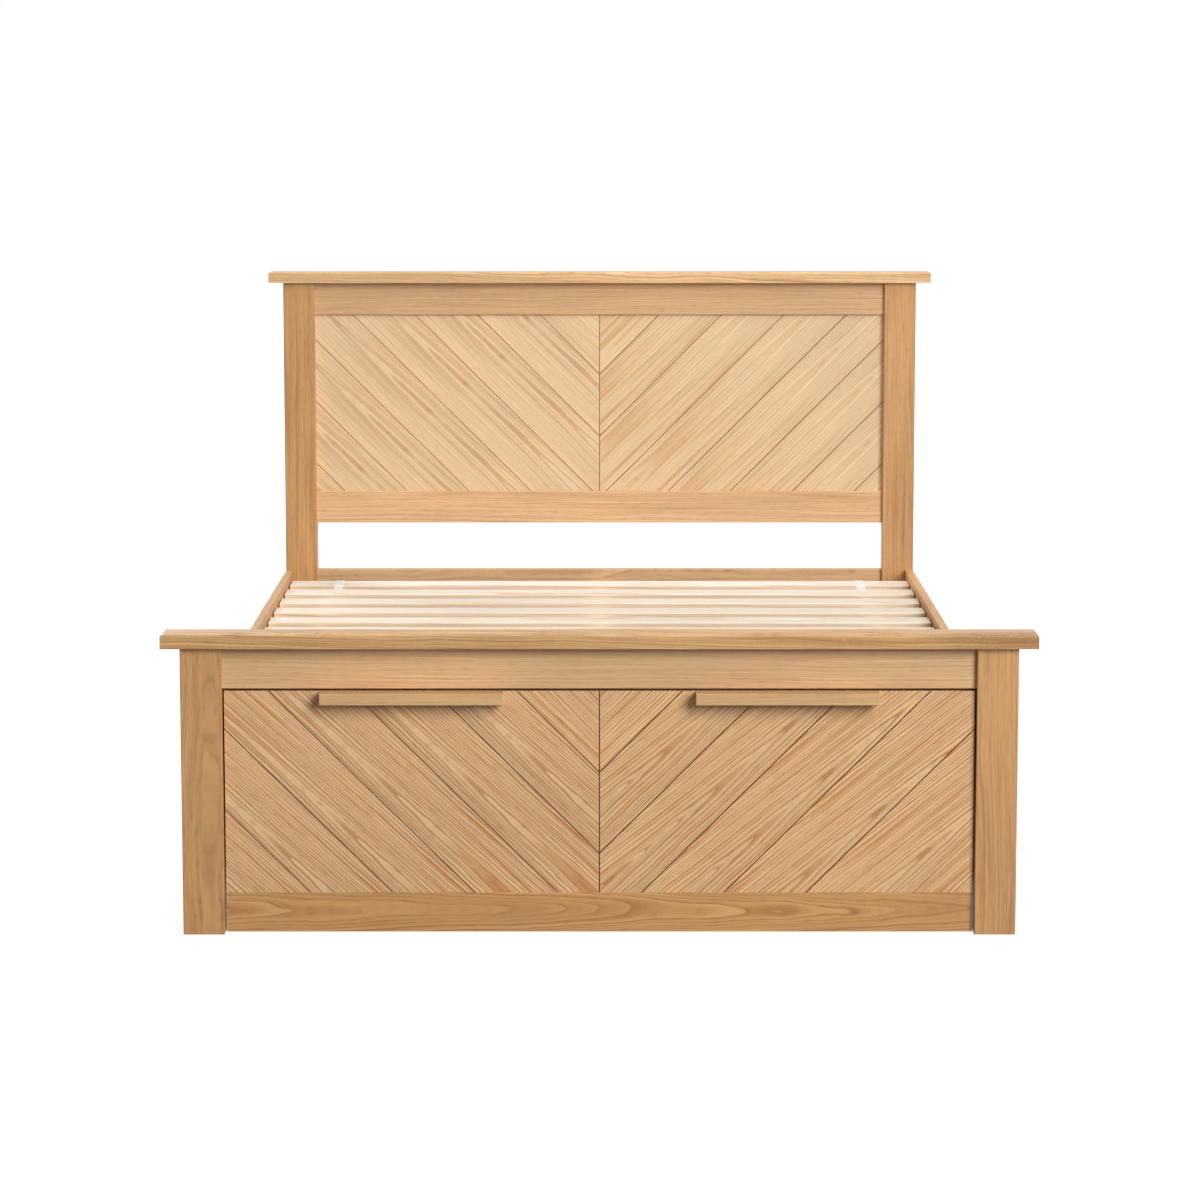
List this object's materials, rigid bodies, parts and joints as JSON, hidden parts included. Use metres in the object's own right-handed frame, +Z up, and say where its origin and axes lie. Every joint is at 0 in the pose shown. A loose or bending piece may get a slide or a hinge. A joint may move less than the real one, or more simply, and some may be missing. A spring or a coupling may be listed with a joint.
{
  "type": "storage bed",
  "caption": "Slatted double bed with plank-faced headboard, overhanging caps and a wide foot-end drawer that rolls out on castors.",
  "frame": {"origin": "on the floor, in the middle of the bed's overall length and width", "axes": "+X to the right seen from the foot end, +Y from the foot end to the headboard, +Z up"},
  "size_m": [1.48, 2.048, 1.0075],
  "materials": {
    "oak": "satin oiled",
    "oak_veneer": "satin oiled",
    "pale_oak_veneer": "satin oiled",
    "pine": "planed, bare",
    "drawer_board": "satin",
    "beech": "fluted, bare",
    "webbing": "woven",
    "zinc_steel": "zinc plated",
    "castor_plastic": "moulded",
    "glide_plastic": "moulded",
    "rubber": "matte"
  },
  "bodies": {
    "bed_frame": {"head_post_left": "oak", "head_post_right": "oak", "head_cap": "oak", "head_top_rail": "oak", "head_mid_rail": "oak", "head_low_rail": "oak", "head_chevron": "pale_oak_veneer", "head_back_panel": "pale_oak_veneer", "foot_post_left": "oak", "foot_post_right": "oak", "foot_cap": "oak", "foot_rail": "oak", "foot_inner_panel": "pine", "side_rail_left": "oak", "side_rail_right": "oak", "slat_ledger_left": "pine", "slat_ledger_right": "pine", "centre_rail": "pine", "centre_legs": "pine", "leg_glides": "glide_plastic", "centre_rail_hangers": "zinc_steel", "slat_01": "pine", "slat_02": "pine", "slat_03": "pine", "slat_04": "pine", "slat_05": "pine", "slat_06": "pine", "slat_07": "pine", "slat_08": "pine", "slat_09": "pine", "slat_10": "pine", "slat_11": "pine", "slat_12": "pine", "slat_13": "pine", "slat_14": "pine", "slat_15": "pine", "slat_straps": "webbing", "corner_brackets": "zinc_steel", "corner_bolts": "zinc_steel", "frame_screws": "zinc_steel", "cap_dowels": "beech", "drawer_buffers": "rubber"},
    "drawer": {"drawer_backing": "drawer_board", "drawer_chevron": "oak_veneer", "drawer_bottom_rail": "oak", "handle_left": "oak", "handle_right": "oak", "handle_screws": "zinc_steel", "drawer_side_left": "drawer_board", "drawer_side_right": "drawer_board", "drawer_back": "drawer_board", "drawer_base": "drawer_board", "drawer_divider": "drawer_board", "castor_forks": "zinc_steel", "castor_axles": "zinc_steel", "castor_screws": "zinc_steel"},
    "castor_wheel_front_left": {"castor_wheel_front_left": "castor_plastic"},
    "castor_wheel_front_right": {"castor_wheel_front_right": "castor_plastic"},
    "castor_wheel_back_left": {"castor_wheel_back_left": "castor_plastic"},
    "castor_wheel_back_right": {"castor_wheel_back_right": "castor_plastic"}
  },
  "joints": [
    {"name": "drawer_slide", "type": "slide", "parent": "bed_frame", "child": "drawer", "axis": [0, -1, 0], "range_m": [0, 0.7]},
    {"name": "castor_wheel_front_left_spin", "type": "hinge", "parent": "drawer", "child": "castor_wheel_front_left", "pos_m": [-0.56, -0.914, 0.025], "axis": [1, 0, 0], "continuous": true},
    {"name": "castor_wheel_front_right_spin", "type": "hinge", "parent": "drawer", "child": "castor_wheel_front_right", "pos_m": [0.56, -0.914, 0.025], "axis": [1, 0, 0], "continuous": true},
    {"name": "castor_wheel_back_left_spin", "type": "hinge", "parent": "drawer", "child": "castor_wheel_back_left", "pos_m": [-0.56, -0.234, 0.025], "axis": [1, 0, 0], "continuous": true},
    {"name": "castor_wheel_back_right_spin", "type": "hinge", "parent": "drawer", "child": "castor_wheel_back_right", "pos_m": [0.56, -0.234, 0.025], "axis": [1, 0, 0], "continuous": true}
  ],
  "couplings": [
    {"joint": "castor_wheel_front_left_spin", "follows": "drawer_slide", "rad_per_m": 40},
    {"joint": "castor_wheel_front_right_spin", "follows": "drawer_slide", "rad_per_m": 40},
    {"joint": "castor_wheel_back_left_spin", "follows": "drawer_slide", "rad_per_m": 40},
    {"joint": "castor_wheel_back_right_spin", "follows": "drawer_slide", "rad_per_m": 40}
  ]
}
